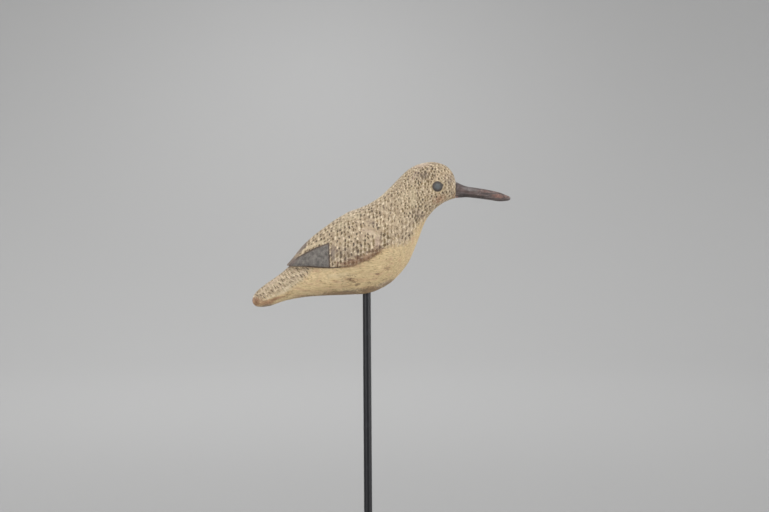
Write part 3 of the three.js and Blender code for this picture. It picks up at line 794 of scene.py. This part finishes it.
def fleckStrokes(add, coords, shift):  # mm from the nearest brush stroke, and that stroke's own tone
    rows, form, size = (add("Attribute", {}, attribute_name=name).outputs["Vector"]
                        for name in ("fleckRows", "fleckForm", "fleckSize"))
    size = add("SeparateXYZ", {0: size})
    stray = add("SeparateXYZ", {0: form}).outputs[2]
    shaky = add("TexNoise", {"Vector": coords, "Scale": perMetre / shake["size"], "Detail": 2})
    shaky = add("VectorMath", {0: shaky.outputs["Color"], 1: (0.5, 0.5, 0.5)}, operation="SUBTRACT")
    shaky = add("VectorMath", {0: shaky, "Scale": stray}, operation="SCALE")
    place = add("VectorMath", {0: shaky, 1: (shake["reach"], shake["reach"], 0), 2: rows},
                operation="MULTIPLY_ADD")
    place = add("VectorMath", {0: place, 1: shift})
    cell = add("TexVoronoi", {"Vector": place, "Scale": 1, "Randomness": 0.6}, voronoi_dimensions="2D")
    offset = add("VectorMath", {0: place, 1: cell.outputs["Position"]}, operation="SUBTRACT")
    sizes = add("VectorMath", {0: form, 1: (1, 1, 0)}, operation="MULTIPLY")
    offset = add("VectorMath", {0: offset, 1: sizes}, operation="MULTIPLY")
    tone = add("SeparateColor", {0: cell.outputs["Color"]})
    lean = add("SeparateXYZ", {0: rows}).outputs[2]
    lean = add("Math", {0: tone.outputs[0], 1: strokes["lean"][1], 2: lean}, operation="MULTIPLY_ADD")
    lean = add("Math", {0: lean, 1: strokes["lean"][0]}, operation="ADD")
    offset = add("VectorRotate", {"Vector": offset, "Angle": lean}, rotation_type="Z_AXIS")
    parts = add("SeparateXYZ", {0: offset})
    along = add("Math", {0: parts.outputs[1]}, operation="ABSOLUTE")
    length, width = (
        add("Math", {0: tone.outputs[i], 1: strokes[name][1], 2: strokes[name][0]},
            operation="MULTIPLY_ADD") for i, name in ((1, "length"), (0, "width")))
    length = add("Math", {0: length, 1: size.outputs[1]}, operation="MULTIPLY")
    beyond = add("Math", {0: along, 1: length}, operation="SUBTRACT")
    beyond = add("Math", {0: beyond, 1: 0}, operation="MAXIMUM")
    reach = add("CombineXYZ", {0: parts.outputs[0], 1: beyond})
    reach = add("VectorMath", {0: reach}, operation="LENGTH").outputs["Value"]
    width = add("Math", {0: size.outputs[0], 1: width}, operation="MULTIPLY")
    reach = add("Math", {0: reach, 1: width}, operation="SUBTRACT")
    return reach, tone.outputs[2]


def headDabs(add, coords, shift):  # the same for the round dabs, laid down flat on the surface
    gap, halfWidth, slim = paint["dabs"]
    least, more = (share * halfWidth for share in strokes["dab"])
    place = add("VectorMath", {0: coords, "Scale": perMetre / gap}, operation="SCALE")
    place = add("VectorMath", {0: place, 1: shift})
    cell = add("TexVoronoi", {"Vector": place, "Scale": 1, "Randomness": 0.85})
    offset = add("VectorMath", {0: place, 1: cell.outputs["Position"]}, operation="SUBTRACT")
    facing = add("TexCoord", {}).outputs["Normal"]
    sunk = add("VectorMath", {0: offset, 1: facing}, operation="PROJECT")
    offset = add("VectorMath", {0: offset, 1: sunk}, operation="SUBTRACT")
    offset = add("VectorMath", {0: offset, 1: (gap, gap, gap * slim)}, operation="MULTIPLY")
    reach = add("VectorMath", {0: offset}, operation="LENGTH").outputs["Value"]
    tone = add("SeparateColor", {0: cell.outputs["Color"]})
    width = add("Math", {0: tone.outputs[0], 1: more, 2: least}, operation="MULTIPLY_ADD")
    reach = add("Math", {0: reach, 1: width}, operation="SUBTRACT")
    return reach, tone.outputs[2]


def fleckedOver(add, coords, finish, noises, shade):  # the flecked upper parts over the plain paint
    plumage, bare, dense, dabbed = (add("Attribute", {}, attribute_name=name).outputs["Fac"]
                                    for name in ("plumage", "bare", "dense", "dabbed"))
    plumage = add("Math", {0: noises["ragged"], 1: finish["plumageRagged"], 2: plumage},
                  operation="MULTIPLY_ADD")
    grounded = add("MapRange", {"Value": plumage, "From Min": 2, "From Max": 7})
    plumage = add("MapRange", {"Value": plumage, "From Min": 1.8, "From Max": 5})
    bare = add("MapRange", {"Value": bare, "From Min": 0.25, "From Max": 0.75, "To Min": 1, "To Max": 0})
    dark, light = (colour(code) for code in finish["fleckedGround"])
    ground = add("Mix", {0: noises["mottled"], 6: dark, 7: light}, data_type="RGBA").outputs[2]
    shade = add("Mix", {0: grounded, 6: shade, 7: ground}, data_type="RGBA").outputs[2]
    for shift, codes, wider in finish["flecks"]:
        columns, dabs = fleckStrokes(add, coords, shift), headDabs(add, coords, shift)
        reach, tone = (add("Mix", {0: dabbed, 2: columns[i], 3: dabs[i]}) for i in (0, 1))
        reach = add("Math", {0: dense, 1: -wider, 2: reach}, operation="MULTIPLY_ADD")
        reach = add("Math", {0: noises["ragged"], 1: 0.9, 2: reach}, operation="MULTIPLY_ADD")
        mask = add("MapRange", {"Value": reach, "From Min": 0.75, "From Max": 0.25})
        for limit in (plumage, bare):
            mask = add("Math", {0: mask, 1: limit}, operation="MULTIPLY")
        dark, light = (colour(code) for code in codes)
        stroke = add("Mix", {0: tone, 6: dark, 7: light}, data_type="RGBA").outputs[2]
        shade = add("Mix", {0: mask, 6: shade, 7: stroke}, data_type="RGBA").outputs[2]
    return shade


def coatsOver(add, coats, noises, shade):  # each worn, stained or painted place in turn
    # the dark specks come more thickly where the grime and painted shade are strong
    grimeAndShade = add("Attribute", {}, attribute_name="grimeAndShade").outputs["Fac"]
    specks = add("Math", {0: grimeAndShade, 1: 0.13, 2: noises["specks"]},
                 operation="MULTIPLY_ADD")  # more of them where it is dirty
    for field, start, whole, tones, strength, rough in coats:
        value = specks
        if field != "specks":
            value = add("Attribute", {}, attribute_name=field).outputs["Fac"]
        value = add("Math", {0: noises["ragged"], 1: 2 * rough, 2: value}, operation="MULTIPLY_ADD")
        reach = {"Value": value, "From Min": start + rough, "From Max": whole + rough, "To Max": strength}
        mask = add("MapRange", reach, interpolation_type="SMOOTHSTEP")
        dark, light = (colour(code) for code in tones)
        coat = add("Mix", {0: noises["mottled"], 6: dark, 7: light}, data_type="RGBA").outputs[2]
        shade = add("Mix", {0: mask, 6: shade, 7: coat}, data_type="RGBA").outputs[2]
    return shade


def oldPaint(name, finish):
    material, shader, add = newMaterial(name)
    coords = add("TexCoord", {}).outputs["Object"]
    noises = layOutPatterns(add, coords, finish["patterns"] | paintPatterns)
    noises["mottled"], share = (
        add("MapRange", {"Value": noises[name], "From Min": 0.35, "From Max": 0.65})
        for name in ("mottled", "streaks"))
    dark, light = (colour(code) for code in finish["cream"])
    shade = add("Mix", {0: share, 6: dark, 7: light}, data_type="RGBA").outputs[2]
    tone, most = finish["tinge"]
    tinge = add("MapRange", {"Value": noises["tinge"], "From Min": 0.5, "From Max": 0.68, "To Max": most})
    shade = add("Mix", {0: tinge, 6: shade, 7: colour(tone)}, data_type="RGBA").outputs[2]
    if "flecks" in finish:
        shade = fleckedOver(add, coords, finish, noises, shade)
    shade = coatsOver(add, finish["coats"], noises, shade)
    uneven = add("MapRange", {"Value": noises["cloudy"], "From Min": 0.3, "From Max": 0.7,
                              "To Min": 0.94, "To Max": 1.05})
    spotty = add("MapRange", {"Value": noises["mottled"], "To Min": 1 - finish["mottling"],
                              "To Max": 1 + finish["mottling"]})
    uneven = add("Math", {0: uneven, 1: spotty}, operation="MULTIPLY")
    shade = add("VectorMath", {0: shade, "Scale": uneven}, operation="SCALE")
    shiny, dull = finish["roughness"]
    gloss = add("MapRange", {"Value": noises["ragged"], "From Min": 0.3, "From Max": 0.7,
                             "To Min": shiny, "To Max": dull})
    relief = add("Math", {0: noises["streaks"], 1: noises["ragged"]}, operation="ADD")
    bump = add("Bump", {"Strength": 0.6, "Distance": finish["bumpDepth"], "Height": relief})
    feed(shader, {"Base Color": shade, "Roughness": gloss, "Normal": bump})
    return material


# Blackened steel: a bright bar and a turned disc under a thin satin black. It shows as near
# black with a soft grey stripe of light, faint draw lines and a few rubbed spots.
blackenedSteel = {
    "black": "#1d1d21", "rubbed": "#33343a", "roughness": (0.34, 0.54), "gloss": 0.36, "bumpDepth": 0.00005,
    "worn": ((9, 9, 9), 5, 0.7),
    # the marks of the tools, in mm along x, y and z: fine ones along the bar, rings on the disc
    "barLines": ((0.3, 0.3, 20), 3, 0.5), "discLines": ((6, 6, 0.3), 3, 0.5),
}


def blackSteel(name, lines):
    material, shader, add = newMaterial(name)
    coords = add("TexCoord", {}).outputs["Object"]
    noises = layOutPatterns(add, coords, {"drawn": blackenedSteel[lines], "worn": blackenedSteel["worn"]})
    worn = add("MapRange", {"Value": noises["worn"], "From Min": 0.55, "From Max": 0.8})
    black, rubbed = colour(blackenedSteel["black"]), colour(blackenedSteel["rubbed"])
    shade = add("Mix", {0: worn, 6: black, 7: rubbed}, data_type="RGBA").outputs[2]
    shader.inputs["Specular IOR Level"].default_value = blackenedSteel["gloss"]
    shiny, dull = blackenedSteel["roughness"]
    gloss = add("MapRange", {"Value": noises["drawn"], "To Min": shiny, "To Max": dull})
    bump = add("Bump", {"Strength": 0.3, "Distance": blackenedSteel["bumpDepth"],
                        "Height": noises["drawn"]})
    feed(shader, {"Base Color": shade, "Roughness": gloss, "Normal": bump})
    return material


def dress(piece, material, node):
    piece.data.materials.clear()
    piece.data.materials.append(material)
    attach(piece, "root")
    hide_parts(node)


dress(carvedBird, oldPaint("oilPaintOnPine", oilPaintOnPine), "carved_bird")
dress(paintedBill, oldPaint("oilPaintOnBill", oilPaintOnBill), "bill")
dress(steelRod, blackSteel("blackenedBar", "barLines"), "rod")
dress(steelFoot, blackSteel("blackenedDisc", "discLines"), "foot")
print("stage: materials on")

# The stage: a pale paper dish that curves up all round, soft light and the photo's camera, in metres
stage = {
    "flatTo": 2.2, "curve": 1.9, "wall": 0.6, "centreHole": 0.01, "paper": "#b5b5b5", "paperRoughness": 0.9,
    "dishSides": 96, "curveSteps": 24,
    "world": (0.39, "#f6f6f5"),  # strength, colour
    "sun": ((-0.16, -0.34, 0.93), 45, 1.15),  # towards it, softness in degrees, strength
    # soft lamps round the bird: place, what they face, power in watts
    "spots": {
        "frontLeft": ((-1.4, -1.7, 0.35), (0, 0, 0.28), 118),
        "frontRight": ((1.8, -1.1, 0.3), (0, 0, 0.28), 142),
        "backLeft": ((-1.7, 1.2, 0.7), (0, 0, 0.28), 50),
        "backRight": ((1.8, 1.1, 0.4), (0, 0, 0.28), 70),
        "onTheWall": ((-0.1, 1.4, 2.0), (-0.15, 3.9, 0.45), 60),
    },
    "spotSize": 0.45, "spotBeam": 26,  # radius, degrees
    # a long soft lamp over the paper behind: place, what it faces, power, width and length
    "overPaper": ((-0.2, 1.75, 1.5), (-0.2, 2.0, 0), 13, 0.5, 2.2),
    "focal": 100, "sensor": 36,  # mm
    "distance": 1.6558, "elevation": 2, "roll": 0.35, "nearest": 0.05,
    "target": (0.01395, 0, 0.2738),
}


def makeDish():
    flat, curve, top = stage["flatTo"], stage["curve"], stage["wall"]
    profile = [(stage["centreHole"], 0), (flat / 3, 0), (flat * 2 / 3, 0)]
    for a in np.radians(np.linspace(0, 90, stage["curveSteps"] + 1)):
        profile.append((flat + curve * math.sin(a), curve - curve * math.cos(a)))
    profile.append((flat + curve, curve + top))
    count = stage["dishSides"]
    angle = turnAngles(count)
    points = [(r * math.cos(a), r * math.sin(a), z) for r, z in profile for a in angle]
    faces = [tuple(range(count))[::-1]]
    for i in range(len(profile) - 1):
        inner, outer = i * count, (i + 1) * count
        faces += [(inner + k, inner + (k + 1) % count, outer + (k + 1) % count, outer + k)
                  for k in range(count)]
    dish = makeObject("paperSweep", np.array(points) / mm, faces)
    finishShape(dish, sharpFrom=60)
    material, shader, _ = newMaterial("mattPaper")
    feed(shader, {"Base Color": colour(stage["paper"]), "Roughness": stage["paperRoughness"]})
    dish.data.materials.append(material)


def addLamp(name, kind, place, facing, power):  # a lamp that the camera doesn't see
    light = bpy.data.lights.new(name, kind)
    light.energy = power
    lamp = bpy.data.objects.new(name, light)
    bpy.context.scene.collection.objects.link(lamp)
    lamp.location = place
    lamp.rotation_euler = (Vector(facing) - Vector(place)).to_track_quat("-Z", "Y").to_euler()
    lamp.visible_camera = False
    return light


def makeLights():
    towards, softness, strength = stage["sun"]
    sun = addLamp("sun", "SUN", Vector(towards), (0, 0, 0), strength)
    sun.angle = math.radians(softness)
    for name, (place, facing, power) in stage["spots"].items():
        spot = addLamp(name, "SPOT", place, facing, power)
        spot.shadow_soft_size, spot.spot_size = stage["spotSize"], math.radians(stage["spotBeam"])
        spot.spot_blend = 1
    *where, width, length = stage["overPaper"]
    panel = addLamp("overPaper", "AREA", *where)
    panel.shape, panel.size, panel.size_y = "RECTANGLE", width, length
    world = bpy.data.worlds.new("studio")
    world.use_nodes = True
    sky = world.node_tree.nodes["Background"]
    strength, code = stage["world"]
    sky.inputs["Color"].default_value, sky.inputs["Strength"].default_value = colour(code), strength
    bpy.context.scene.world = world


def makeCamera():
    tilt, roll = math.radians(stage["elevation"]), math.radians(stage["roll"])
    forward = Vector((0, math.cos(tilt), -math.sin(tilt)))
    right, up = Vector((1, 0, 0)), Vector((0, math.sin(tilt), math.cos(tilt)))
    turnedRight = right * math.cos(roll) - up * math.sin(roll)
    turnedUp = right * math.sin(roll) + up * math.cos(roll)
    lens = bpy.data.cameras.new("camera")
    lens.lens, lens.sensor_width, lens.clip_start = stage["focal"], stage["sensor"], stage["nearest"]
    camera = bpy.data.objects.new("camera", lens)
    bpy.context.scene.collection.objects.link(camera)
    place = Matrix((turnedRight, turnedUp, -forward)).transposed().to_4x4()
    place.translation = Vector(stage["target"]) - forward * stage["distance"]
    camera.matrix_world = place
    bpy.context.scene.camera = camera


makeDish()
makeLights()
makeCamera()
bpy.context.scene.view_settings.view_transform = "Standard"
print("stage: lit")
